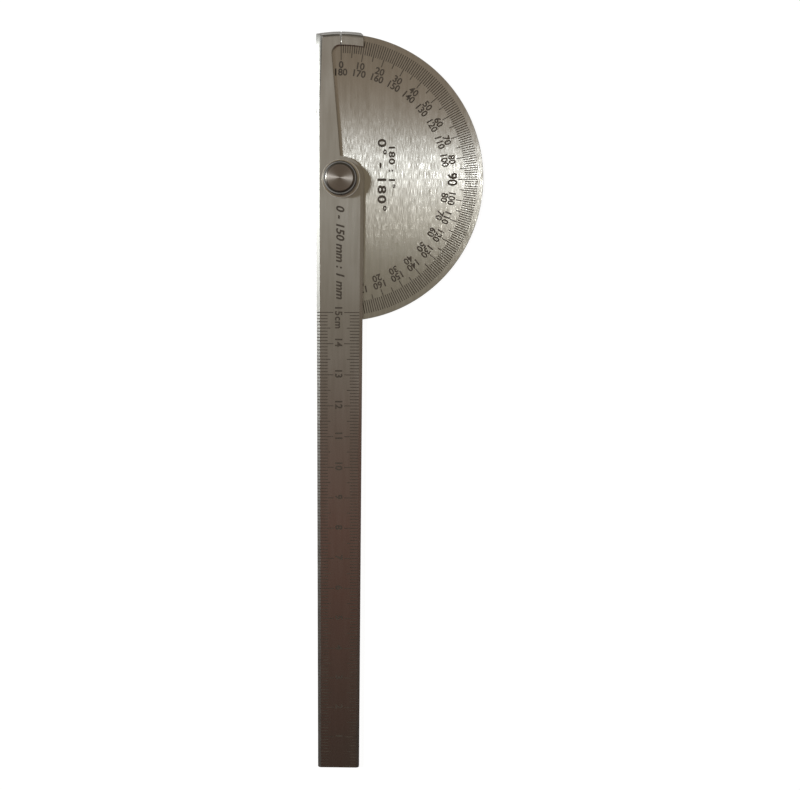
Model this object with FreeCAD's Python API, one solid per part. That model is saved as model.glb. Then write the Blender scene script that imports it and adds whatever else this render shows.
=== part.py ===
"""Bevel protractor: a flat degree head, a graduated arm that swings over it, and the clamp at its pivot.

Millimetres. The pivot axis is +Z through the origin and the head lies on z = 0. At rest the arm points
along -Y with its index on the first degree line at +Y, and the degree arc bulges towards +X.
"""
import FreeCAD, Part
import os
from math import acos, atan2, cos, pi, sin, sqrt

from FreeCAD import Vector

# Head: a stamped half disc, a little more than half so that the pivot lies inside its straight edge
head_radius = 45.0
head_thickness = 1.0
head_chord_offset = 7.4
head_corner_radius = 0.6
head_edge_break = 0.12

# Arm: length from the pivot to the end that its scale counts from
arm_reach = 192.7
arm_thickness = 1.2
arm_graduated_side = 7.8
arm_end_half_width = 5.8
arm_end_corner = 0.5
arm_bevel_width = 1.0
arm_bevel_depth = 0.38
boss_radius = 7.15
boss_notch_radius = 0.35

# Neck: the narrow strip that leaves the degree lines in view between the boss and the hook
neck_width_at_pivot = 8.1
neck_width_at_hook = 4.62
neck_bevel_width = 2.1
neck_bevel_depth = 0.75
neck_bevel_runout = 27.0

# Hook: the pointer that follows the rim, with its outer edge rolled down round it
hook_band = 4.3
hook_reach = 7.0
hook_corner = 0.95
hook_inner_fillet = 2.6
hook_roll_radius = 1.9
lip_wall = 0.6
lip_above_floor = 0.15
index_groove_width = 0.5
index_groove_depth = 0.24

# Clearances
arm_to_head_gap = 0.05
rim_gap = 0.2
running_gap = 0.05
key_gap = 0.03
seat_gap = 0.02

# Pivot screw: a flush head, a keyed neck, a plain journal for the arm and a threaded end
screw_head_radius = 4.2
screw_head_thickness = 0.5
screw_neck_radius = 3.0
screw_neck_half_flats = 2.6
screw_journal_radius = 2.5
screw_thread_radius = 1.95
screw_end_chamfer = 0.35
screw_end_room = 0.6
journal_below_arm_top = 0.1

# Washers
spring_washer_radius = 4.3
spring_washer_sheet = 0.22
spring_washer_height = 0.42
washer_radius = 6.0
washer_thickness = 0.6
washer_edge_chamfer = 0.15
washer_bore_gap = 0.2

# Thumb nut
nut_radius = 5.4
nut_height = 4.2
nut_crown_radius = 1.2
nut_foot_chamfer = 0.3
nut_top_wall = 1.1
knurl_count = 54
knurl_depth = 0.16

# Heights of the stack above the head's underside
arm_bottom = head_thickness + arm_to_head_gap
arm_top = arm_bottom + arm_thickness
washer_bottom = arm_top + spring_washer_height + 2 * seat_gap
nut_bottom = washer_bottom + washer_thickness + seat_gap
nut_top = nut_bottom + nut_height
nut_bore_end = nut_top - nut_top_wall

hook_outer_radius = head_radius + rim_gap + lip_wall
hook_inner_radius = hook_outer_radius - hook_band
washer_bore_radius = screw_thread_radius + washer_bore_gap
nut_bore_radius = screw_thread_radius + running_gap

up = Vector(0, 0, 1)
pivot = Vector(0, 0, 0)


def on_circle(radius, x):
    """The point of a circle about the pivot at this x, on its +Y side."""
    return Vector(x, sqrt(radius**2 - x**2), 0)


def polar(radius, angle):
    return Vector(radius * cos(angle), radius * sin(angle), 0)


def line(start, end):
    return Part.LineSegment(start, end).toShape()


def arc(start, middle, end):
    return Part.Arc(start, middle, end).toShape()


def pivot_arc(start, end):
    """The clockwise arc about the pivot from start to end."""
    first = atan2(start.y, start.x)
    last = atan2(end.y, end.x)
    return arc(start, polar(start.Length, (first + last) / 2), end)


def plate(edges, bottom, top):
    """A flat plate with the outline that the edges make, between two heights."""
    face = Part.Face(Part.Wire(edges))
    face.translate(up * bottom)
    return face.extrude(up * (top - bottom))


def disc(radius, bottom, top):
    return Part.makeCylinder(radius, top - bottom, up * bottom)


def turned(profile):
    """A solid of revolution about the pivot axis, from (radius, height) corners."""
    corners = [Vector(r, 0, z) for r, z in profile]
    wire = Part.makePolygon(corners + [corners[0]])
    return Part.Face(wire).revolve(pivot, up, 360)


def edges_near(shape, point, reach):
    """The edges of a shape whose middle lies within reach of a point."""
    return [edge for edge in shape.Edges if edge.CenterOfMass.distanceToPoint(point) < reach]


def upright_edges(shape, x, y):
    """The edges that run straight up through a point of the plan."""
    found = []
    for edge in shape.Edges:
        ends = [vertex.Point for vertex in edge.Vertexes]
        if all(abs(end.x - x) + abs(end.y - y) < 0.01 for end in ends):
            found.append(edge)
    return found


def keyed_hole(radius, half_flats, bottom, top):
    """A round post with two flats, which the head's hole and the screw's neck share."""
    block = Part.makeBox(2 * half_flats, 2 * radius, top - bottom, Vector(-half_flats, -radius, bottom))
    return disc(radius, bottom, top).common(block)


def make_head_plate():
    upper = Vector(-head_chord_offset, sqrt(head_radius**2 - head_chord_offset**2), 0)
    lower = Vector(upper.x, -upper.y, 0)
    outline = [arc(upper, Vector(head_radius, 0, 0), lower), line(lower, upper)]
    body = plate(outline, 0, head_thickness)
    corners = upright_edges(body, upper.x, upper.y) + upright_edges(body, lower.x, lower.y)
    body = body.makeFillet(head_corner_radius, corners)
    rims = [edge for edge in body.Edges if abs(edge.BoundBox.ZLength) < 1e-6]
    body = body.makeChamfer(head_edge_break, rims)
    seat = disc(screw_head_radius + key_gap, 0, screw_head_thickness + seat_gap)
    key = keyed_hole(screw_neck_radius + key_gap, screw_neck_half_flats + key_gap, 0, head_thickness)
    return body.cut(seat.fuse(key))


def neck_line_point(radius):
    """Where the neck's inner edge crosses a circle about the pivot."""
    foot = Vector(neck_width_at_pivot - arm_graduated_side, 0, 0)
    head = Vector(neck_width_at_hook - arm_graduated_side, hook_inner_radius, 0)
    along = (head - foot).normalize()
    middle = foot.dot(along)
    return foot + along * (sqrt(middle**2 + radius**2 - foot.dot(foot)) - middle)


def plain_edge_tangent():
    """Where the arm's plain edge, drawn from its far corner, touches the boss."""
    corner = Vector(arm_end_half_width, -arm_reach, 0)
    return polar(boss_radius, atan2(corner.y, corner.x) + acos(boss_radius / corner.Length))


def arm_outline():
    """The arm seen from above, clockwise from the far corner on its graduated side."""
    start = Vector(-arm_graduated_side, -arm_reach, 0)
    hook_start = on_circle(hook_outer_radius, -arm_graduated_side)
    hook_end = on_circle(hook_outer_radius, hook_reach - hook_corner)
    corner = Vector(hook_reach, hook_end.y - hook_corner, 0)
    inner_end = on_circle(hook_inner_radius, hook_reach)
    neck_top = neck_line_point(hook_inner_radius)
    neck_foot = neck_line_point(boss_radius)
    tangent = plain_edge_tangent()
    end = Vector(arm_end_half_width, -arm_reach, 0)
    return [
        line(start, hook_start),
        pivot_arc(hook_start, hook_end),
        line(hook_end, corner),
        line(corner, inner_end),
        pivot_arc(inner_end, neck_top),
        line(neck_top, neck_foot),
        pivot_arc(neck_foot, tangent),
        line(tangent, end),
        line(end, start),
    ]


def bevel_section(place, inward, width, depth):
    """The triangle that a bevel takes off an edge; inward points from the edge into the arm's top face."""
    spare = 1.5
    slope = (inward * width + up * depth).normalize()
    edge = place + up * (arm_top - depth)
    lower = edge - slope * spare
    upper = edge + slope * (sqrt(width**2 + depth**2) + spare)
    outer = Vector(lower.x, lower.y, upper.z)
    return Part.makePolygon([lower, upper, outer, lower])


def bevel_cutter(start, end, widths, depths):
    """What is cut from the top of an edge, which may widen from start to end."""
    along = (end - start).normalize()
    inward = Vector(along.y, -along.x, 0)
    first = bevel_section(start, inward, widths[0], depths[0])
    last = bevel_section(end, inward, widths[1], depths[1])
    return Part.makeLoft([first, last], True, True)


def roll_cutter():
    """What is cut from the hook's top edge to roll it over: the outside of a quarter round."""
    inner = hook_outer_radius - hook_roll_radius
    shoulder = arm_top - hook_roll_radius
    spare = 1.0
    middle = sqrt(0.5) * hook_roll_radius
    round_edge = arc(
        Vector(inner, 0, arm_top),
        Vector(inner + middle, 0, shoulder + middle),
        Vector(hook_outer_radius, 0, shoulder),
    )
    corners = [
        Vector(hook_outer_radius, 0, shoulder),
        Vector(hook_outer_radius + spare, 0, shoulder),
        Vector(hook_outer_radius + spare, 0, arm_top + spare),
        Vector(inner, 0, arm_top + spare),
        Vector(inner, 0, arm_top),
    ]
    sides = [line(a, b) for a, b in zip(corners, corners[1:])]
    face = Part.Face(Part.Wire([round_edge] + sides))
    face.rotate(pivot, up, 70)
    return face.revolve(pivot, up, 40)


def index_groove():
    """The V groove that follows the hook's top and rolled edge at the index."""
    inner = hook_outer_radius - hook_roll_radius
    shoulder = arm_top - hook_roll_radius
    middle = sqrt(0.5) * hook_roll_radius
    start = Vector(0, hook_inner_radius - 1.0, arm_top)
    bend = Vector(0, inner, arm_top)
    over = Vector(0, hook_outer_radius, shoulder)
    path = Part.Wire([
        line(start, bend),
        arc(bend, Vector(0, inner + middle, shoulder + middle), over),
        line(over, Vector(0, hook_outer_radius, lip_above_floor - 1.0)),
    ])
    half = index_groove_width / 2
    rise = half * 0.5
    steep = 1 + rise / index_groove_depth
    section = Part.makePolygon([
        start + Vector(-half * steep, 0, rise),
        start + Vector(0, 0, -index_groove_depth),
        start + Vector(half * steep, 0, rise),
        start + Vector(-half * steep, 0, rise),
    ])
    return path.makePipeShell([section], True, False)


def make_arm():
    blank = plate(arm_outline(), arm_bottom, arm_top)
    neck_top = neck_line_point(hook_inner_radius)
    neck_foot = neck_line_point(boss_radius)
    blank = blank.makeFillet(hook_inner_fillet, upright_edges(blank, neck_top.x, neck_top.y))
    blank = blank.makeFillet(boss_notch_radius, upright_edges(blank, neck_foot.x, neck_foot.y))
    end_corners = upright_edges(blank, -arm_graduated_side, -arm_reach)
    end_corners += upright_edges(blank, arm_end_half_width, -arm_reach)
    blank = blank.makeFillet(arm_end_corner, end_corners)

    lip_ring = disc(hook_outer_radius + 1, lip_above_floor, arm_bottom)
    lip_ring = lip_ring.cut(disc(hook_outer_radius - lip_wall, lip_above_floor, arm_bottom))
    hook_side = Part.makeBox(
        arm_graduated_side + hook_reach, hook_outer_radius, arm_bottom, Vector(-arm_graduated_side, 0, 0)
    )
    lip = plate(arm_outline(), lip_above_floor, arm_bottom).common(lip_ring).common(hook_side)
    body = blank.fuse(lip).removeSplitter()

    hook_corner_point = on_circle(hook_outer_radius, -arm_graduated_side)
    neck_end = Vector(-arm_graduated_side, hook_corner_point.y - neck_bevel_runout, 0)
    far_corner = Vector(-arm_graduated_side, -arm_reach - 1, 0)
    above_hook = hook_corner_point + Vector(0, 1, 0)
    plain_corner = Vector(arm_end_half_width, -arm_reach, 0)
    tangent = plain_edge_tangent()
    beyond = plain_corner + (plain_corner - tangent).normalize()
    even = (arm_bevel_width, arm_bevel_width)
    even_depth = (arm_bevel_depth, arm_bevel_depth)
    cutters = [
        bevel_cutter(far_corner, above_hook, even, even_depth),
        bevel_cutter(tangent, beyond, even, even_depth),
        bevel_cutter(
            neck_end,
            above_hook,
            (arm_bevel_width, neck_bevel_width),
            (arm_bevel_depth, neck_bevel_depth),
        ),
        roll_cutter(),
        index_groove(),
        disc(screw_journal_radius + running_gap, arm_bottom - 1, arm_top + 1),
    ]
    for cutter in cutters:
        body = body.cut(cutter)
    return body


def make_pivot_screw():
    neck_top = head_thickness - seat_gap
    journal_top = arm_top - journal_below_arm_top
    end = nut_bore_end - screw_end_room
    head = disc(screw_head_radius, 0, screw_head_thickness)
    neck = keyed_hole(screw_neck_radius, screw_neck_half_flats, screw_head_thickness, neck_top)
    journal = disc(screw_journal_radius, neck_top, journal_top)
    thread = disc(screw_thread_radius, journal_top, end)
    body = head.fuse([neck, journal, thread]).removeSplitter()
    return body.makeChamfer(screw_end_chamfer, edges_near(body, up * end, screw_thread_radius / 2))


def make_spring_washer():
    """A shallow cone of spring sheet, small end up."""
    low = arm_top + seat_gap
    high = low + spring_washer_height
    return turned([
        (spring_washer_radius, low),
        (spring_washer_radius, low + spring_washer_sheet),
        (washer_bore_radius, high),
        (washer_bore_radius, high - spring_washer_sheet),
    ])


def make_plain_washer():
    body = disc(washer_radius, washer_bottom, washer_bottom + washer_thickness)
    rims = [edge for edge in body.Edges if edge.Closed]
    body = body.makeChamfer(washer_edge_chamfer, rims)
    return body.cut(disc(washer_bore_radius, washer_bottom - 1, nut_bottom + 1))


def knurled_outline():
    """A ring of shallow V flutes between the knurl's root and the nut's full radius."""
    corners = []
    for step in range(2 * knurl_count):
        radius = nut_radius - knurl_depth * (step % 2)
        corners.append(polar(radius, pi * step / knurl_count))
    return Part.makePolygon(corners + [corners[0]])


def make_thumb_nut():
    """A turned blank at the knurl's root, with the knurled band round its middle and a blind bore."""
    root = nut_radius - knurl_depth
    crown_start = nut_top - nut_crown_radius
    band_start = nut_bottom + nut_foot_chamfer
    blank = disc(root, nut_bottom, nut_top)
    blank = blank.makeFillet(nut_crown_radius, edges_near(blank, up * nut_top, nut_crown_radius / 2))
    blank = blank.makeChamfer(nut_foot_chamfer, edges_near(blank, up * nut_bottom, nut_foot_chamfer / 2))
    band = Part.Face(knurled_outline()).extrude(up * (crown_start - band_start))
    band.translate(up * band_start)
    bore = disc(nut_bore_radius, nut_bottom - 1, nut_bore_end)
    return blank.fuse(band).cut(bore)


makers = {
    "head_plate": make_head_plate,
    "arm": make_arm,
    "pivot_screw": make_pivot_screw,
    "spring_washer": make_spring_washer,
    "plain_washer": make_plain_washer,
    "thumb_nut": make_thumb_nut,
}

os.makedirs("parts", exist_ok=True)
for node, make in makers.items():
    shape = make()
    shape.exportStep(f"parts/{node}.step")
    print(node, "valid", shape.isValid(), "solids", len(shape.Solids), "volume", round(shape.Volume, 2))
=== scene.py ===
"""The finish of the bevel protractor: brushed head, satin arm, plated clamp and their etched scales."""
from math import asin, pi, radians

import bmesh
import bpy
import numpy as np
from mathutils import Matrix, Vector


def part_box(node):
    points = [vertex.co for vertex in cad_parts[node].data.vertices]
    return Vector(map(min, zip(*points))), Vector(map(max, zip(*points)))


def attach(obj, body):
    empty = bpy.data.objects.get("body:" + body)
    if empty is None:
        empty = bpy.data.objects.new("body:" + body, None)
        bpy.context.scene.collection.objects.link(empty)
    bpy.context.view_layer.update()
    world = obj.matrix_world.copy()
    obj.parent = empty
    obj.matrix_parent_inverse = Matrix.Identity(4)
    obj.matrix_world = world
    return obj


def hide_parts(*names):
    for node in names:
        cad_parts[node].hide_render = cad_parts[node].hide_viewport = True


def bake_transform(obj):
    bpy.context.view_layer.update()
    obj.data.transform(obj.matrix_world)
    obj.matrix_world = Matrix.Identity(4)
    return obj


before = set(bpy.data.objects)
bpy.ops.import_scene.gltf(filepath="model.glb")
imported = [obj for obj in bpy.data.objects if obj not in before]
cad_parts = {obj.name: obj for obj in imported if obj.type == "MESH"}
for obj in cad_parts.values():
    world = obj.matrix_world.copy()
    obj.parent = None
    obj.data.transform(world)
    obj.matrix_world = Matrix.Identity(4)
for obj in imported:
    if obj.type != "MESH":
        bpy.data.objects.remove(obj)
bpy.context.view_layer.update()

# Sizes and places are in millimetres here and become metres in add_piece. Materials, the floor, the lamps
# and the camera are in metres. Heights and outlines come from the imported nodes.
METRE = 0.001


def node_box(packed):
    """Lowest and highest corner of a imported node, in millimetres."""
    low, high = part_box(packed)
    return np.array(low) / METRE, np.array(high) / METRE


head_low, head_high = node_box("head_plate")
arm_low, arm_high = node_box("arm")
washer_low, washer_high = node_box("plain_washer")
spring_low, spring_high = node_box("spring_washer")
nut_low, nut_high = node_box("thumb_nut")

head_top = head_high[2]
head_radius = 45.0
head_chord = -head_low[0]
arm_top = arm_high[2]
arm_left = arm_low[0]
arm_end = arm_low[1]
nut_radius = nut_high[0]
nut_top = nut_high[2]

# Head plate
rim_points = 361
corner_points = 9
chord_points = 41
head_corner = 0.6
head_edge = 0.12
screw_seat_radius = 4.23
screw_seat_depth = 0.52
key_hole_radius = 3.03
key_hole_flat = 2.63

# Degree scale
degree_line_outer = 43.25
degree_line_inner = {1: 39.1, 5: 37.7, 10: 36.9}
degree_line_width = 0.28
outer_figures = 35.6
inner_figures = 33.3
figure_height = 2.15
middle_figure_height = 3.05
middle_figure_radius = 35.3

# Arm: its eased edges, and the neck's bevel, whose outer strip is raised more and more from low to full
arm_edge = 0.08
arm_end_right = 5.8
boss_radius = 7.15
neck_strip = 0.95
neck_rise = 0.2
neck_rise_low = 18.2
neck_rise_full = 38.0
neck_rise_end = 42.6
neck_stations = (neck_rise_low, 23, 28, 33, neck_rise_full, 41, 42.5)

# Arm scale
scale_zero = arm_end + 0.5
scale_length = 150
bevel_width = 1.0
bevel_depth = 0.38
left_line_end = {1: -4.34, 5: -3.46, 10: -2.5}
right_line_end = {1: 2.79, 5: 1.80, 10: 0.97}
arm_line_width = 0.26
line_edge_gap = 0.04
arm_figure_height = 2.3
arm_figure_x = -0.7
arm_figure_shift = 0.3
unit_figure_shift = -1.7

# Etched marks are filled nearly flush: a little below the surface and a hair above it
mark_sunk = 0.03
mark_proud = 0.012
typeface_figure = 0.729  # height of a figure where the typeface's size is 1
typeface_weight = 0.028  # its outlines swell by this much at that size

# Clamp
washer_bore = 2.15
washer_edge = 0.15
washer_columns = 120
spring_sheet = 0.22
spring_edge = 0.03
spring_columns = 96
nut_root_depth = 0.16
nut_teeth = 54
nut_band_slope = 0.02
nut_edge = 0.06
nut_crown = 1.2
nut_foot = 0.3
nut_bore = 2.0
nut_top_wall = 1.1


# Meshes


def add_piece(name, points, faces, materials, slots_per_face=None):
    """A mesh object from points in millimetres, with doubles welded and every face turned outwards."""
    mesh = bpy.data.meshes.new(name)
    mesh.from_pydata((np.asarray(points, float).reshape(-1, 3) * METRE).tolist(), [], faces)
    if slots_per_face is not None:
        mesh.polygons.foreach_set("material_index", slots_per_face)
    work = bmesh.new()
    work.from_mesh(mesh)
    bmesh.ops.remove_doubles(work, verts=work.verts, dist=2e-7)
    bmesh.ops.dissolve_degenerate(work, dist=2e-7, edges=work.edges)
    bmesh.ops.recalc_face_normals(work, faces=work.faces)
    work.to_mesh(mesh)
    work.free()
    for material in materials:
        mesh.materials.append(material)
    piece = bpy.data.objects.new(name, mesh)
    bpy.context.scene.collection.objects.link(piece)
    return piece


def smooth(piece, angle=32):
    """Smooth shading that keeps edges sharper than the angle, with flat faces left flat."""
    piece.data.shade_smooth()
    piece.data.set_sharp_from_angle(angle=radians(angle))
    weighted = piece.modifiers.new("flat faces stay flat", "WEIGHTED_NORMAL")
    weighted.keep_sharp = True
    return piece


def grid_faces(rows, columns, wrap_rows=False):
    """Quads between neighbouring points of a grid whose columns close on themselves."""
    last = rows if wrap_rows else rows - 1
    row, column = np.meshgrid(np.arange(last), np.arange(columns), indexing="ij")
    next_row = (row + 1) % rows
    next_column = (column + 1) % columns
    corners = [row * columns + column, row * columns + next_column,
               next_row * columns + next_column, next_row * columns + column]
    return np.stack(corners, -1).reshape(-1, 4).tolist()


def rounded(corners, radius, steps):
    """The line through (radius, height) corners, each inner corner replaced by a small curve.

    The curve leaves and meets the line at a set distance from the corner and is quadratic:
    (1 - t)^2 before + 2 t (1 - t) corner + t^2 after.
    """
    corners = np.array(corners, float)
    before, corner, after = corners[:-2], corners[1:-1], corners[2:]
    step_in = before - corner
    step_out = after - corner
    length_in = np.linalg.norm(step_in, axis=1, keepdims=True)
    length_out = np.linalg.norm(step_out, axis=1, keepdims=True)
    reach = np.minimum(radius, 0.45 * np.minimum(length_in, length_out))
    first = corner + step_in / length_in * reach
    last = corner + step_out / length_out * reach
    t = np.linspace(0, 1, steps + 1)[None, :, None]
    curves = (1 - t) ** 2 * first[:, None] + 2 * t * (1 - t) * corner[:, None] + t**2 * last[:, None]
    return np.vstack([corners[:1], curves.reshape(-1, 2), corners[-1:]])


def turned(profile, columns, flute=None):
    """Points of a profile carried round the pivot: x = r cos a, y = r sin a, z = height.

    With flute, the radius drops by flute(row, angle), which cuts the flutes of a knurl.
    """
    angle = np.arange(columns) * 2 * pi / columns
    radius = np.repeat(profile[:, :1], columns, axis=1)
    if flute is not None:
        radius = radius - flute(profile, angle)
    height = np.repeat(profile[:, 1:], columns, axis=1)
    return np.stack([radius * np.cos(angle), radius * np.sin(angle), height], -1)


def head_outline(inset):
    """The half disc's outline, moved inwards by inset: rim arc, corner arc, straight edge, corner arc.

    Each corner's centre lies one corner radius inside both the rim and the straight edge.
    """
    centre_x = head_corner - head_chord
    centre_y = np.sqrt((head_radius - head_corner) ** 2 - centre_x**2)
    turn = np.arctan2(centre_y, centre_x)
    sweep = np.linspace(-turn, turn, rim_points)[:, None]
    rim_arc = (head_radius - inset) * np.hstack([np.cos(sweep), np.sin(sweep)])
    bend = np.linspace(turn, pi, corner_points)[1:, None]
    upper = np.array([centre_x, centre_y]) + (head_corner - inset) * np.hstack([np.cos(bend), np.sin(bend)])
    fall = np.linspace(centre_y, -centre_y, chord_points)[1:-1, None]
    edge = np.hstack([np.full_like(fall, -head_chord + inset), fall])
    lower = upper[::-1] * [1, -1]
    return np.vstack([rim_arc, upper, edge, lower[:-1]])


def head_rows():
    """Rows of the head: key hole, top, rounded rim, underside and the screw's seat, back to the key hole.

    The key hole is a circle with two flats: at angle a, the smaller of its radius and flat / |cos a|.
    """
    outline = head_outline(0)
    around = np.arctan2(outline[:, 1], outline[:, 0])
    direction = np.stack([np.cos(around), np.sin(around)], -1)
    flat_reach = key_hole_flat / np.maximum(np.abs(direction[:, :1]), 1e-6)
    key = direction * np.minimum(key_hole_radius, flat_reach)
    seat = direction * screw_seat_radius
    bend = np.linspace(0, pi / 2, 5)
    rim_insets = head_edge * (1 - np.sin(bend))
    rim_drops = head_edge * (1 - np.cos(bend))
    rows = [(key, head_top)]
    rows += [(head_outline(inset), head_top - drop) for inset, drop in zip(rim_insets, rim_drops)]
    rows += [(head_outline(inset), drop) for inset, drop in zip(rim_insets[::-1], rim_drops[::-1])]
    rows += [(seat, 0), (seat, screw_seat_depth), (key, screw_seat_depth)]
    points = [np.column_stack([flat, np.full(len(flat), height)]) for flat, height in rows]
    return np.array(points)


def merged_copy(packed, name, edge):
    """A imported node's mesh with its triangles joined into whole faces and its edges eased."""
    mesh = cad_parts[packed].data.copy()
    mesh.materials.clear()
    work = bmesh.new()
    work.from_mesh(mesh)
    bmesh.ops.remove_doubles(work, verts=work.verts, dist=1e-6)
    bmesh.ops.dissolve_limit(work, angle_limit=radians(0.5), verts=work.verts, edges=work.edges)
    work.to_mesh(mesh)
    work.free()
    piece = bpy.data.objects.new(name, mesh)
    bpy.context.scene.collection.objects.link(piece)
    bevel = piece.modifiers.new("eased edges", "BEVEL")
    bevel.width = edge * METRE
    bevel.segments = 2
    bevel.limit_method = "ANGLE"
    bevel.angle_limit = radians(35)
    return piece


# Etched marks


def scored_lines(paths, sides):
    """Closed bars along paths: four corners round each station of each path, half a width to either side.

    paths is (lines, stations, 3) on the surface and sides is (lines, 3), half the line's width across it.
    """
    lines, stations = paths.shape[:2]
    up = np.array([0, 0, 1.0])
    side = sides[:, None, :]
    corners = [paths - side - up * mark_sunk, paths + side - up * mark_sunk,
               paths + side + up * mark_proud, paths - side + up * mark_proud]
    points = np.stack(corners, 2)
    corner = np.arange(4)
    next_corner = (corner + 1) % 4
    wall = np.stack([corner, next_corner, next_corner + 4, corner + 4], -1)
    walls = [wall + station * 4 for station in range(stations - 1)]
    ends = np.array([[3, 2, 1, 0], np.arange(4) + (stations - 1) * 4])
    one = np.vstack(walls + [ends])
    faces = (one[None] + (np.arange(lines) * stations * 4)[:, None, None]).reshape(-1, 4)
    return points.reshape(-1, 3), faces.tolist()


def lettering(words, height, length=None, slant=0.0, spacing=1.0):
    """A word as a closed solid, centred on the origin, with figures this high and, if given, this length."""
    curve = bpy.data.curves.new("words", "FONT")
    curve.body = words
    curve.align_x = "CENTER"
    curve.shear = slant
    curve.space_character = spacing
    curve.offset = typeface_weight
    curve.extrude = 0.5
    curve.resolution_u = 3
    holder = bpy.data.objects.new("words", curve)
    mesh = bpy.data.meshes.new_from_object(holder)
    work = bmesh.new()
    work.from_mesh(mesh)
    bmesh.ops.remove_doubles(work, verts=work.verts, dist=1e-5)
    points = np.array([vertex.co for vertex in work.verts])
    faces = [[vertex.index for vertex in face.verts] for face in work.faces]
    work.free()
    bpy.data.objects.remove(holder)
    bpy.data.curves.remove(curve)
    bpy.data.meshes.remove(mesh)
    scale = height / typeface_figure
    low, high = points.min(0), points.max(0)
    stretch = length / (high[0] - low[0]) if length else scale
    points[:, 0] = (points[:, 0] - (low[0] + high[0]) / 2) * stretch
    points[:, 1] = (points[:, 1] - typeface_figure / 2) * scale
    points[:, 2] = np.where(points[:, 2] > 0, mark_proud, -mark_sunk)
    return points, faces


def placed(word, x, y, z, turn):
    """A word's points turned by an angle about its middle and moved to a place."""
    points, faces = word
    cosine, sine = np.cos(turn), np.sin(turn)
    moved = np.stack([points[:, 0] * cosine - points[:, 1] * sine + x,
                      points[:, 0] * sine + points[:, 1] * cosine + y, points[:, 2] + z], -1)
    return moved, faces


def joined(parts):
    """Several (points, faces) pairs as one, with each part's faces counted on from the last."""
    points, faces, count = [], [], 0
    for part_points, part_faces in parts:
        points.append(part_points)
        faces += [[index + count for index in face] for face in part_faces]
        count += len(part_points)
    return np.vstack(points), faces


def degree_lines():
    """A line for each degree, at (sin a, cos a) from the first one at +Y, with longer fifths and tenths."""
    degree = np.arange(181)
    inner = np.where(degree % 10 == 0, degree_line_inner[10],
                     np.where(degree % 5 == 0, degree_line_inner[5], degree_line_inner[1]))
    angle = np.radians(degree)
    outward = np.stack([np.sin(angle), np.cos(angle), 0 * angle], -1)
    across = np.stack([np.cos(angle), -np.sin(angle), 0 * angle], -1)
    level = np.array([0, 0, head_top])
    paths = np.stack([outward * inner[:, None], outward * degree_line_outer], 1) + level
    return scored_lines(paths, across * degree_line_width / 2)


def degree_figures():
    """Figures every ten degrees in two rows that count opposite ways, and one large ninety."""
    words = []
    for degree in range(0, 181, 10):
        rows = [(degree, outer_figures, figure_height), (180 - degree, inner_figures, figure_height)]
        if degree == 90:
            rows = [(90, middle_figure_radius, middle_figure_height)]
        for number, radius, height in rows:
            angle = radians(degree)
            word = lettering(str(number), height)
            words.append(placed(word, radius * np.sin(angle), radius * np.cos(angle), head_top, -angle))
    return joined(words)


def arm_lines():
    """A line for each millimetre along both edges of the arm; those on the left run down its bevel."""
    step = np.arange(scale_length + 1)
    y = scale_zero + step
    grade = np.where(step % 10 == 0, 10, np.where(step % 5 == 0, 5, 1))
    left_end = np.vectorize(left_line_end.get)(grade)
    right_end = np.vectorize(right_line_end.get)(grade)
    ones = np.ones(len(y))
    foot_height = arm_top - bevel_depth + line_edge_gap * bevel_depth / bevel_width
    left = np.stack([
        np.stack([ones * (arm_left + line_edge_gap), y, ones * foot_height], -1),
        np.stack([ones * (arm_left + bevel_width), y, ones * arm_top], -1),
        np.stack([left_end, y, ones * arm_top], -1),
    ], 1)
    right_edge = plain_edge(y) - bevel_width
    right = np.stack([np.stack([right_end, y, ones * arm_top], -1),
                      np.stack([right_edge, y, ones * arm_top], -1)], 1)
    half = np.tile([0, -arm_line_width / 2, 0], (len(y), 1))
    return joined([scored_lines(left, half), scored_lines(right, half)])


def plain_edge(y):
    """x of the arm's plain edge, the straight line from its far corner that touches the boss."""
    corner = np.hypot(arm_end_right, arm_end)
    lean = np.arctan2(arm_end_right, -arm_end) - asin(boss_radius / corner)
    return arm_end_right + (arm_end - y) * np.tan(lean)


def arm_figures():
    """Centimetre figures along the arm, read from its plain side, the last with its unit."""
    words = []
    for number in range(1, 15):
        word = lettering(str(number), arm_figure_height)
        along = scale_zero + 10 * number + arm_figure_shift
        words.append(placed(word, arm_figure_x, along, arm_top, -pi / 2))
    unit = lettering("15cm", arm_figure_height, spacing=1.1)
    along = scale_zero + scale_length + unit_figure_shift
    words.append(placed(unit, arm_figure_x, along, arm_top, -pi / 2))
    return joined(words)


# Node groups and materials


def new_group(name, inputs, outputs):
    """An empty shader node group with named sockets: the group, its input node and its output node."""
    group = bpy.data.node_groups.new(name, "ShaderNodeTree")
    for label, kind, value in inputs:
        socket = group.interface.new_socket(label, in_out="INPUT", socket_type=kind)
        if value is not None:
            socket.default_value = value
    for label, kind in outputs:
        group.interface.new_socket(label, in_out="OUTPUT", socket_type=kind)
    return group, group.nodes.new("NodeGroupInput"), group.nodes.new("NodeGroupOutput")


def node(tree, kind, links=(), **settings):
    """A node with its inputs set or linked: links pairs an input's name or number with a socket or value."""
    made = tree.nodes.new(kind)
    for key, value in settings.items():
        setattr(made, key, value)
    for key, value in links:
        if isinstance(value, bpy.types.NodeSocket):
            tree.links.new(value, made.inputs[key])
        else:
            made.inputs[key].default_value = value
    return made


def math(tree, operation, *values, clamp=False):
    """The result of a sum of sockets and numbers, kept between 0 and 1 with clamp."""
    made = node(tree, "ShaderNodeMath", enumerate(values), operation=operation, use_clamp=clamp)
    return made.outputs[0]


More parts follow.
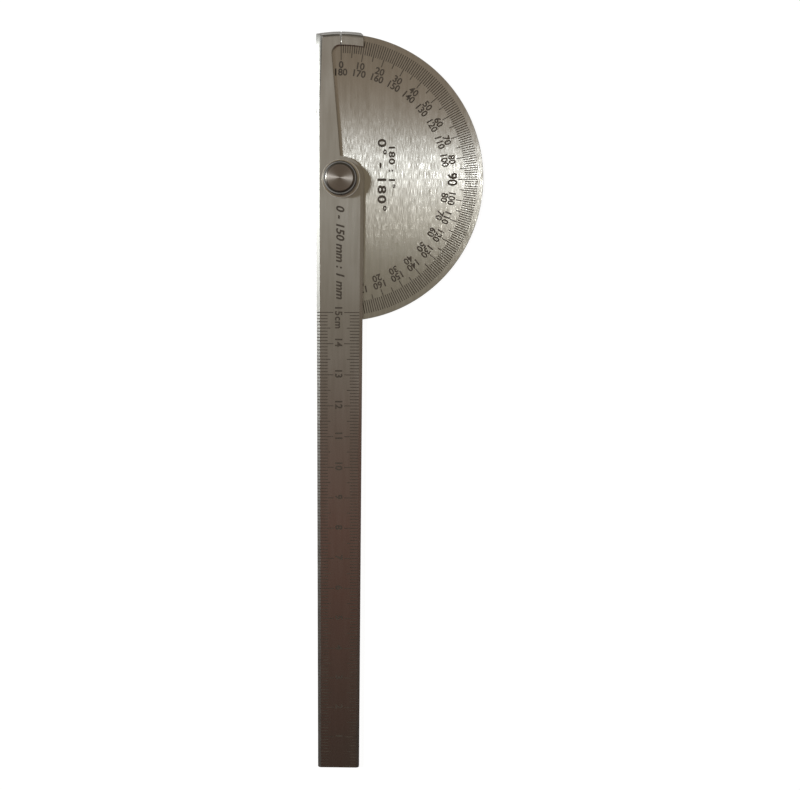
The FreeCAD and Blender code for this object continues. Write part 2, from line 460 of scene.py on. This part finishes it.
def streaks_group():
    """Brushing: noise stretched along Y, fine and coarse, whose lines start and stop.

    Both noises read the vector with x times Fineness and y times Fineness / Length.
    """
    group, inside, outside = new_group(
        "brushing",
        [("Vector", "NodeSocketVector", None), ("Fineness", "NodeSocketFloat", 3000.0),
         ("Length", "NodeSocketFloat", 18.0)],
        [("Fine", "NodeSocketFloat"), ("Coarse", "NodeSocketFloat")],
    )
    split = node(group, "ShaderNodeSeparateXYZ", [(0, inside.outputs["Vector"])])
    x = math(group, "MULTIPLY", split.outputs["X"], inside.outputs["Fineness"])
    slow = math(group, "DIVIDE", inside.outputs["Fineness"], inside.outputs["Length"])
    y = math(group, "MULTIPLY", split.outputs["Y"], slow)
    fine_at = node(group, "ShaderNodeCombineXYZ", [("X", x), ("Y", y)])
    fine = node(group, "ShaderNodeTexNoise", [("Vector", fine_at.outputs[0]), ("Scale", 1.0),
                                              ("Detail", 2.0)])
    coarse_at = node(group, "ShaderNodeVectorMath", [(0, fine_at.outputs[0]), (1, (0.27, 0.45, 1.0))],
                     operation="MULTIPLY")
    coarse = node(group, "ShaderNodeTexNoise", [("Vector", coarse_at.outputs[0]), ("Scale", 1.0),
                                                ("Detail", 3.0), ("Roughness", 0.6)])
    group.links.new(fine.outputs["Fac"], outside.inputs["Fine"])
    group.links.new(coarse.outputs["Fac"], outside.inputs["Coarse"])
    return group


def handling_group():
    """Handling marks: soft cloudy patches, sharpened by Contrast about their middle value."""
    group, inside, outside = new_group(
        "handling marks",
        [("Vector", "NodeSocketVector", None), ("Scale", "NodeSocketFloat", 60.0),
         ("Contrast", "NodeSocketFloat", 2.0)],
        [("Patches", "NodeSocketFloat")],
    )
    cloud = node(group, "ShaderNodeTexNoise", [("Vector", inside.outputs["Vector"]),
                                               ("Scale", inside.outputs["Scale"]), ("Detail", 4.0),
                                               ("Roughness", 0.55)])
    centred = math(group, "SUBTRACT", cloud.outputs["Fac"], 0.5)
    spread = math(group, "MULTIPLY", centred, inside.outputs["Contrast"])
    patches = math(group, "ADD", spread, 0.5, clamp=True)
    group.links.new(patches, outside.inputs["Patches"])
    return group


brushing = streaks_group()
handling = handling_group()


def new_material(name):
    """A material with one plain shader: the material, its tree, the shader and the object's coordinates."""
    material = bpy.data.materials.new(name)
    material.use_nodes = True
    tree = material.node_tree
    tree.nodes.clear()
    shader = tree.nodes.new("ShaderNodeBsdfPrincipled")
    output = tree.nodes.new("ShaderNodeOutputMaterial")
    tree.links.new(shader.outputs[0], output.inputs["Surface"])
    place = tree.nodes.new("ShaderNodeTexCoord").outputs["Object"]
    return material, tree, shader, place


def use_group(tree, group, place, **values):
    """The outputs of a shared node group that reads the place, with its other inputs set."""
    made = tree.nodes.new("ShaderNodeGroup")
    made.node_tree = group
    tree.links.new(place, made.inputs["Vector"])
    for key, value in values.items():
        made.inputs[key].default_value = value
    return made.outputs


def mixed(tree, factor, first, second):
    """A colour between two, each a socket or a constant; a mix node's colours are its inputs 6 and 7."""
    made = node(tree, "ShaderNodeMix", [(0, factor), (6, first), (7, second)], data_type="RGBA")
    return made.outputs[2]


def span(tree, value, low, high, to_low, to_high):
    """A value mapped from one range to another, clamped."""
    made = node(tree, "ShaderNodeMapRange", [(0, value), (1, low), (2, high), (3, to_low), (4, to_high)])
    return made.outputs[0]


def grain_across(tree, direction):
    """The direction across the grain in world space, so that it turns with the piece."""
    made = node(tree, "ShaderNodeVectorTransform", [(0, direction)], vector_type="VECTOR",
                convert_from="OBJECT", convert_to="WORLD")
    return made.outputs[0]


def tilted(tree, across, value, steepness, lean):
    """The normal tilted across the grain: n + across ((value - 0.5) steepness + lean), made unit length."""
    wave = math(tree, "MULTIPLY", math(tree, "SUBTRACT", value, 0.5), steepness)
    slope = math(tree, "ADD", wave, lean)
    push = node(tree, "ShaderNodeVectorMath", [(0, across), (3, slope)], operation="SCALE").outputs[0]
    normal = tree.nodes.new("ShaderNodeNewGeometry").outputs["Normal"]
    both = node(tree, "ShaderNodeVectorMath", [(0, normal), (1, push)], operation="ADD").outputs[0]
    return node(tree, "ShaderNodeVectorMath", [(0, both)], operation="NORMALIZE").outputs[0]


def head_steel():
    """Straight-brushed stainless steel, streaked along Y.

    Its scratches tilt the surface along a line four degrees off X, so that its highlights stretch that way.
    They all lean towards -X, more so towards the rim.
    """
    material, tree, shader, place = new_material("head_brushed_steel")
    grain = use_group(tree, brushing, place, Fineness=3300.0, Length=24.0)
    marks = use_group(tree, handling, place, Scale=38.0, Contrast=2.2)
    steel = mixed(tree, grain["Coarse"], (0.52, 0.512, 0.485, 1), (0.72, 0.715, 0.69, 1))
    stain = span(tree, marks["Patches"], 0.35, 0.95, 0.0, 0.16)
    colour = mixed(tree, stain, steel, (0.40, 0.32, 0.25, 1))
    tree.links.new(colour, shader.inputs["Base Color"])
    rough = math(tree, "ADD", span(tree, grain["Coarse"], 0.3, 0.7, 0.13, 0.14),
                 span(tree, marks["Patches"], 0.2, 0.9, 0.0, 0.012))
    tree.links.new(rough, shader.inputs["Roughness"])
    shader.inputs["Metallic"].default_value = 1.0
    shader.inputs["Anisotropic"].default_value = 1.0
    across = grain_across(tree, (1.0, -0.07, 0.0))
    tree.links.new(across, shader.inputs["Tangent"])
    scratch = use_group(tree, brushing, place, Fineness=11000.0, Length=30.0)
    sideways = node(tree, "ShaderNodeSeparateXYZ", [(0, place)]).outputs["X"]
    lean = span(tree, sideways, 0.0, 0.05, -0.063, -0.172)
    tree.links.new(tilted(tree, across, scratch["Fine"], 0.45, lean), shader.inputs["Normal"])
    return material


def arm_steel():
    """Satin stainless steel with a faint grain, and a painted shade that makes its far half warmer and
    darker in patches.
    """
    material, tree, shader, place = new_material("arm_satin_steel")
    grain = use_group(tree, brushing, place, Fineness=2600.0, Length=22.0)
    marks = use_group(tree, handling, place, Scale=30.0, Contrast=2.4)
    steel = mixed(tree, grain["Coarse"], (0.50, 0.49, 0.465, 1), (0.61, 0.60, 0.58, 1))
    along = node(tree, "ShaderNodeSeparateXYZ", [(0, place)]).outputs["Y"]
    # Painted shade: towards the far end the colour turns warmer and darker, in patches set by the handling
    # marks.
    far = span(tree, along, -0.06, -0.13, 0.0, 1.0)
    warm = math(tree, "MULTIPLY", far, span(tree, marks["Patches"], 0.3, 0.9, 0.1, 0.6))
    colour = mixed(tree, warm, steel, (0.50, 0.33, 0.29, 1))
    tree.links.new(colour, shader.inputs["Base Color"])
    rough = math(tree, "ADD", span(tree, grain["Coarse"], 0.3, 0.7, 0.21, 0.23),
                 span(tree, marks["Patches"], 0.2, 0.9, 0.0, 0.05))
    tree.links.new(rough, shader.inputs["Roughness"])
    shader.inputs["Metallic"].default_value = 1.0
    shader.inputs["Anisotropic"].default_value = 0.64
    tree.links.new(grain_across(tree, (1.0, 0.0, 0.0)), shader.inputs["Tangent"])
    bump = node(tree, "ShaderNodeBump", [("Height", grain["Fine"]), ("Strength", 0.2),
                                         ("Distance", 0.00001)])
    tree.links.new(bump.outputs[0], shader.inputs["Normal"])
    return material


def ground_steel():
    """The arm's ground bevels: a darker and duller cut of the same steel."""
    material, tree, shader, place = new_material("ground_bevel_steel")
    grain = use_group(tree, brushing, place, Fineness=2600.0, Length=6.0)
    colour = mixed(tree, grain["Coarse"], (0.225, 0.223, 0.214, 1), (0.31, 0.308, 0.296, 1))
    tree.links.new(colour, shader.inputs["Base Color"])
    tree.links.new(span(tree, grain["Coarse"], 0.3, 0.7, 0.31, 0.36), shader.inputs["Roughness"])
    shader.inputs["Metallic"].default_value = 1.0
    return material


def etch():
    """The dark fill of the etched lines and figures, worn thin in places."""
    material, tree, shader, place = new_material("etch_black")
    marks = use_group(tree, handling, place, Scale=420.0, Contrast=2.0)
    colour = mixed(tree, marks["Patches"], (0.05, 0.038, 0.028, 1), (0.11, 0.086, 0.064, 1))
    tree.links.new(colour, shader.inputs["Base Color"])
    tree.links.new(span(tree, marks["Patches"], 0.0, 1.0, 0.5, 0.7), shader.inputs["Roughness"])
    return material


def plating(name, low, high, roughness):
    """Plain metal without a grain, a little hazy where it is handled."""
    material, tree, shader, place = new_material(name)
    marks = use_group(tree, handling, place, Scale=300.0, Contrast=2.0)
    colour = mixed(tree, marks["Patches"], low, high)
    tree.links.new(colour, shader.inputs["Base Color"])
    rough = span(tree, marks["Patches"], 0.1, 0.9, roughness, roughness + 0.08)
    tree.links.new(rough, shader.inputs["Roughness"])
    shader.inputs["Metallic"].default_value = 1.0
    return material


def turned_face(name, low, high, roughness):
    """Metal faced on a lathe: fine rings about the pivot, height a noise of the radius alone."""
    material, tree, shader, place = new_material(name)
    flat = node(tree, "ShaderNodeVectorMath", [(0, place), (1, (1.0, 1.0, 0.0))],
                operation="MULTIPLY").outputs[0]
    radius = node(tree, "ShaderNodeVectorMath", [(0, flat)], operation="LENGTH").outputs["Value"]
    rings = node(tree, "ShaderNodeTexNoise", [("W", radius), ("Scale", 5200.0), ("Detail", 2.0)],
                 noise_dimensions="1D").outputs["Fac"]
    colour = mixed(tree, rings, low, high)
    tree.links.new(colour, shader.inputs["Base Color"])
    tree.links.new(span(tree, rings, 0.3, 0.7, roughness, roughness + 0.05), shader.inputs["Roughness"])
    shader.inputs["Metallic"].default_value = 1.0
    shader.inputs["Anisotropic"].default_value = 0.8
    outward = node(tree, "ShaderNodeVectorMath", [(0, flat)], operation="NORMALIZE").outputs[0]
    tree.links.new(grain_across(tree, outward), shader.inputs["Tangent"])
    bump = node(tree, "ShaderNodeBump", [("Height", rings), ("Strength", 0.3), ("Distance", 0.00002)])
    tree.links.new(bump.outputs[0], shader.inputs["Normal"])
    return material


head_finish = head_steel()
arm_finish = arm_steel()
ground_finish = ground_steel()
# Painted shade: the hook's rolled edge gets a dark grey that stands for the shade on its roll, which turns
# away from the lamps.
painted_shade_roll_finish = plating("rolled_edge_painted_shade", (0.22, 0.21, 0.195, 1), (0.30, 0.29, 0.27, 1), 0.36)
etch_finish = etch()
nut_finish = plating("nut_plate", (0.165, 0.157, 0.145, 1), (0.235, 0.223, 0.208, 1), 0.19)
face_finish = turned_face("turned_plate", (0.36, 0.33, 0.31, 1), (0.50, 0.47, 0.45, 1), 0.29)
# The washer's pale base colour is partly painted light, raised to keep it bright where the nut shades it.
washer_finish = turned_face("washer_plate", (0.74, 0.71, 0.66, 1), (0.88, 0.86, 0.81, 1), 0.16)
spring_finish = plating("spring_sheet_steel", (0.38, 0.36, 0.34, 1), (0.5, 0.48, 0.45, 1), 0.34)
screw_finish = plating("screw_steel", (0.50, 0.48, 0.45, 1), (0.62, 0.6, 0.56, 1), 0.3)


# Pieces


def finish_piece(piece, body, replaced=None):
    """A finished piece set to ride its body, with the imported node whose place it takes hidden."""
    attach(piece, body)
    if replaced:
        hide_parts(replaced)


def make_head():
    """The half disc, with the screw's seat and key hole."""
    rows = head_rows()
    piece = add_piece("brushed_head", rows, grid_faces(*rows.shape[:2], wrap_rows=True), [head_finish])
    finish_piece(smooth(piece), "head", "head_plate")


def eased_neck(mesh):
    """The neck's bevel split along its length into a steep outer strip and a gentler inner facet.

    The strip's edges rise by rise t, where t grows from 0 at the bevel's lower end to 1 below the hook.
    The bevel's faces are known by their lean towards -X and their place along Y.
    """
    strip = arm_left + neck_strip
    work = bmesh.new()
    work.from_mesh(mesh)
    cuts = [((strip, 0, 0), (1, 0, 0))]
    cuts += [((0, y, 0), (0, 1, 0)) for y in neck_stations]
    for place, across in cuts:
        faces = [face for face in work.faces if face.normal.x < -0.2 and face.normal.z > 0.7
                 and face.calc_center_median().y > (neck_rise_low - 3) * METRE]
        edges = {edge for face in faces for edge in face.edges}
        corners = {corner for face in faces for corner in face.verts}
        bmesh.ops.bisect_plane(work, geom=[*corners, *edges, *faces], dist=1e-7,
                               plane_co=[value * METRE for value in place], plane_no=across)
    for corner in work.verts:
        x, y, z = np.array(corner.co) / METRE
        on_strip = x < strip + 0.01 and z > arm_top - 0.8
        if on_strip and neck_rise_low < y < neck_rise_end:
            share = (y - neck_rise_low) / (neck_rise_full - neck_rise_low)
            corner.co.z += neck_rise * min(share, 1) * METRE
    work.to_mesh(mesh)
    work.free()


def make_arm():
    """The arm in three finishes: satin faces, ground bevels on its -X side, and a darker painted shade on
    its hook's rolled edge.

    A face's normal picks its finish: bevels lean towards -X, and the rolled edge turns towards +Y.
    """
    piece = merged_copy("arm", "graduated_arm", arm_edge)
    eased_neck(piece.data)
    for finish in (arm_finish, ground_finish, painted_shade_roll_finish):
        piece.data.materials.append(finish)
    faces = piece.data.polygons
    normals = np.zeros(len(faces) * 3)
    faces.foreach_get("normal", normals)
    x, y, z = normals.reshape(-1, 3).T
    ground = (x < 0) & (z > 0.8) & (z < 0.995) & (np.abs(y) < 0.2)
    # The rolled edge's faces get the dark finish that paints the shade of the roll.
    rolled = (z > 0.02) & (z < 0.8) & (y > 0.4)
    faces.foreach_set("material_index", ground + 2 * rolled)
    finish_piece(smooth(piece), "arm", "arm")


def nut_profile():
    """The nut's outline: from its bore's ceiling down, out, up its side and over its crown to the middle.

    The crown is a quarter circle and the top is flat.
    """
    root = nut_radius - nut_root_depth
    bottom = nut_low[2]
    bore_end = nut_top - nut_top_wall
    band_low = bottom + nut_foot
    band_high = nut_top - nut_crown
    corners = [(0, bore_end), (nut_bore, bore_end), (nut_bore, bottom), (root - nut_foot, bottom),
               (root, band_low), (nut_radius, band_low + nut_band_slope),
               (nut_radius, band_high - nut_band_slope), (root, band_high)]
    below = rounded(corners, nut_edge, 2)
    bend = np.linspace(0, pi / 2, 15)[1:, None]
    crown = np.hstack([root - nut_crown * (1 - np.cos(bend)), band_high + nut_crown * np.sin(bend)])
    middle = np.linspace(root - nut_crown, 0, 5)[1:, None]
    top = np.hstack([middle, np.full_like(middle, nut_top)])
    return np.vstack([below, crown, top])


def make_nut():
    """The knurled nut, plated on its side and crown, with a turned face on top."""
    def flute(profile, angle):
        """The flutes' depth: (1 - |2 t - 1|) times the band's height above its root, t along a tooth."""
        phase = (angle * nut_teeth / (2 * pi)) % 1
        depth = 1 - np.abs(2 * phase - 1)
        band = np.clip(profile[:, :1] - (nut_radius - nut_root_depth), 0, None)
        return band * depth

    profile = nut_profile()
    columns = nut_teeth * 4
    points = turned(profile, columns, flute)
    on_face = (profile[1:, 1] > nut_top - 1e-4) & (profile[:-1, 1] > nut_top - 1e-4)
    per_face = np.repeat(on_face, columns).astype(np.int32)
    faces = grid_faces(len(profile), columns)
    piece = add_piece("knurled_nut", points, faces, [nut_finish, face_finish], per_face)
    finish_piece(smooth(piece), "nut", "thumb_nut")


def make_washers():
    """The flat washer, and under it the sprung cone, built at one height; the real cone grows taller as the
    clamp is slackened.
    """
    low, high, out = washer_low[2], washer_high[2], washer_high[0]
    corners = [(washer_bore, low), (out, low), (out, high), (washer_bore, high), (washer_bore, low)]
    profile = rounded(corners, washer_edge, 3)[:-1]
    points = turned(profile, washer_columns)
    piece = add_piece("flat_washer", points, grid_faces(*points.shape[:2], wrap_rows=True), [washer_finish])
    finish_piece(smooth(piece), "washers", "plain_washer")

    low, high, out = spring_low[2], spring_high[2], spring_high[0]
    corners = [(out, low), (out, low + spring_sheet), (washer_bore, high),
               (washer_bore, high - spring_sheet), (out, low)]
    profile = rounded(corners, spring_edge, 2)[:-1]
    points = turned(profile, spring_columns)
    piece = add_piece("cone_washer", points, grid_faces(*points.shape[:2], wrap_rows=True), [spring_finish])
    smooth(piece)
    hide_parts("spring_washer")
    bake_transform(piece)


def make_screw():
    """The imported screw, in its own finish."""
    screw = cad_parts["pivot_screw"]
    screw.data.materials.clear()
    screw.data.materials.append(screw_finish)


def make_marks():
    """The scales, their figures, and plain legends that give each scale's range and step."""
    def etched(name, part, body):
        finish_piece(add_piece(name, *part, [etch_finish]), body)

    etched("degree_lines", degree_lines(), "head")
    etched("degree_figures", degree_figures(), "head")
    etched("arm_lines", arm_lines(), "arm")
    etched("arm_figures", arm_figures(), "arm")
    range_words = lettering("0° - 180°", height=2.7, length=22.6, spacing=1.15)
    step_words = lettering("180 : 1°", height=1.95, length=13.0, spacing=1.1)
    head_words = [placed(range_words, x=13.0, y=1.3, z=head_top, turn=-pi / 2),
                  placed(step_words, x=16.1, y=3.65, z=head_top, turn=-pi / 2)]
    etched("head_legend", joined(head_words), "head")
    arm_words = lettering("0 - 150 mm : 1 mm", height=2.6, length=29.6, slant=0.25)
    etched("arm_legend", placed(arm_words, x=-0.15, y=-23.25, z=arm_top, turn=-pi / 2), "arm")


make_head()
make_arm()
make_screw()
make_washers()
make_nut()
make_marks()


# Setting


def make_floor():
    """A white floor that glows where it is seen, straight or in metal, and shows a faint shadow."""
    mesh = bpy.data.meshes.new("floor")
    reach, level = 4.0, -0.00002  # metres, a hair below the object
    mesh.from_pydata([(-reach, -reach, level), (reach, -reach, level), (reach, reach, level),
                      (-reach, reach, level)], [], [(0, 1, 2, 3)])
    floor = bpy.data.objects.new("floor", mesh)
    bpy.context.scene.collection.objects.link(floor)
    material = bpy.data.materials.new("white_floor")
    material.use_nodes = True
    tree = material.node_tree
    tree.nodes.clear()
    rays = tree.nodes.new("ShaderNodeLightPath").outputs
    seen = math(tree, "MAXIMUM", math(tree, "MAXIMUM", rays["Is Camera Ray"], rays["Is Glossy Ray"]),
                rays["Is Transmission Ray"])
    shade = mixed(tree, seen, (0.8, 0.8, 0.8, 1), (0.2, 0.2, 0.2, 1))
    paper = node(tree, "ShaderNodeBsdfDiffuse", [("Color", shade)])
    glow = node(tree, "ShaderNodeEmission", [("Strength", math(tree, "MULTIPLY", seen, 0.94))])
    both = node(tree, "ShaderNodeAddShader", [(0, paper.outputs[0]), (1, glow.outputs[0])])
    output = tree.nodes.new("ShaderNodeOutputMaterial")
    tree.links.new(both.outputs[0], output.inputs["Surface"])
    mesh.materials.append(material)


# The ceiling's colour at each value of y / z of the direction that looks at it
ceiling_stops = [
    (-0.45, (0.048, 0.040, 0.032, 1)),
    (-0.32, (0.10, 0.062, 0.048, 1)),
    (-0.20, (0.155, 0.082, 0.062, 1)),
    (-0.10, (0.15, 0.115, 0.09, 1)),
    (0.0, (0.27, 0.24, 0.185, 1)),
    (0.08, (0.22, 0.185, 0.13, 1)),
    (0.16, (0.26, 0.205, 0.15, 1)),
    (0.30, (0.24, 0.205, 0.16, 1)),
    (0.60, (0.15, 0.13, 0.105, 1)),
    (1.0, (0.11, 0.10, 0.08, 1)),
]
ceiling_from = -0.5
ceiling_to = 1.0


def make_room():
    """The room's light: a dim warm ceiling, darkest towards -Y, and a pale wall near the horizon.

    The ceiling's colour is read from y / z of the direction, and the wall from z alone.
    """
    world = bpy.data.worlds.new("room")
    bpy.context.scene.world = world
    world.use_nodes = True
    tree = world.node_tree
    tree.nodes.clear()
    direction = tree.nodes.new("ShaderNodeTexCoord").outputs["Generated"]
    split = node(tree, "ShaderNodeSeparateXYZ", [(0, direction)]).outputs
    lean = math(tree, "DIVIDE", split["Y"], math(tree, "MAXIMUM", split["Z"], 0.05))
    along = span(tree, lean, ceiling_from, ceiling_to, 0.0, 1.0)
    ceiling = node(tree, "ShaderNodeValToRGB", [(0, along)])
    ramp = ceiling.color_ramp
    while len(ramp.elements) < len(ceiling_stops):
        ramp.elements.new(0.5)
    for element, (leaning, colour) in zip(ramp.elements, ceiling_stops):
        element.position = (leaning - ceiling_from) / (ceiling_to - ceiling_from)
        element.color = colour
    wall = span(tree, split["Z"], 0.2, 0.5, 1.0, 0.0)
    colour = mixed(tree, wall, ceiling.outputs[0], (0.8, 0.79, 0.77, 1))
    light = node(tree, "ShaderNodeBackground", [(0, colour), (1, 1.0)])
    output = tree.nodes.new("ShaderNodeOutputWorld")
    tree.links.new(light.outputs[0], output.inputs["Surface"])


lamp_distance = 1.2
lamp_height = 0.2


def make_lamp(name, towards, breadth, power, colour):
    """A soft oval lamp that looks at the pivot; its breadth lies level and its height leans back."""
    lamp = bpy.data.lights.new(name, "AREA")
    lamp.shape = "ELLIPSE"
    lamp.size = breadth
    lamp.size_y = lamp_height
    lamp.energy = power
    lamp.color = colour
    holder = bpy.data.objects.new(name, lamp)
    direction = Vector(towards).normalized()
    holder.location = direction * lamp_distance
    holder.rotation_mode = "QUATERNION"
    holder.rotation_quaternion = direction.to_track_quat("Z", "Y")
    bpy.context.scene.collection.objects.link(holder)


def make_camera():
    """The camera, nearly straight above the tool."""
    camera = bpy.data.cameras.new("camera")
    camera.lens = 54.908
    camera.sensor_width = 36.0
    camera.sensor_fit = "HORIZONTAL"
    camera.clip_start = 0.01
    camera.clip_end = 20
    holder = bpy.data.objects.new("camera", camera)
    holder.location = (0.02668, -0.0306, 0.39228)
    holder.rotation_euler = (radians(-5.555), radians(1.161), radians(0.222))
    bpy.context.scene.collection.objects.link(holder)
    bpy.context.scene.camera = holder


make_floor()
make_room()
make_lamp("tube", (-0.63, 0.1385, 0.76), breadth=0.024, power=3.9, colour=(0.95, 0.99, 1.0))
make_lamp("lower tube", (-0.63, 0.088, 0.76), breadth=0.09, power=1.9, colour=(0.99, 0.99, 0.93))
make_camera()
bpy.context.scene.view_settings.view_transform = "Standard"
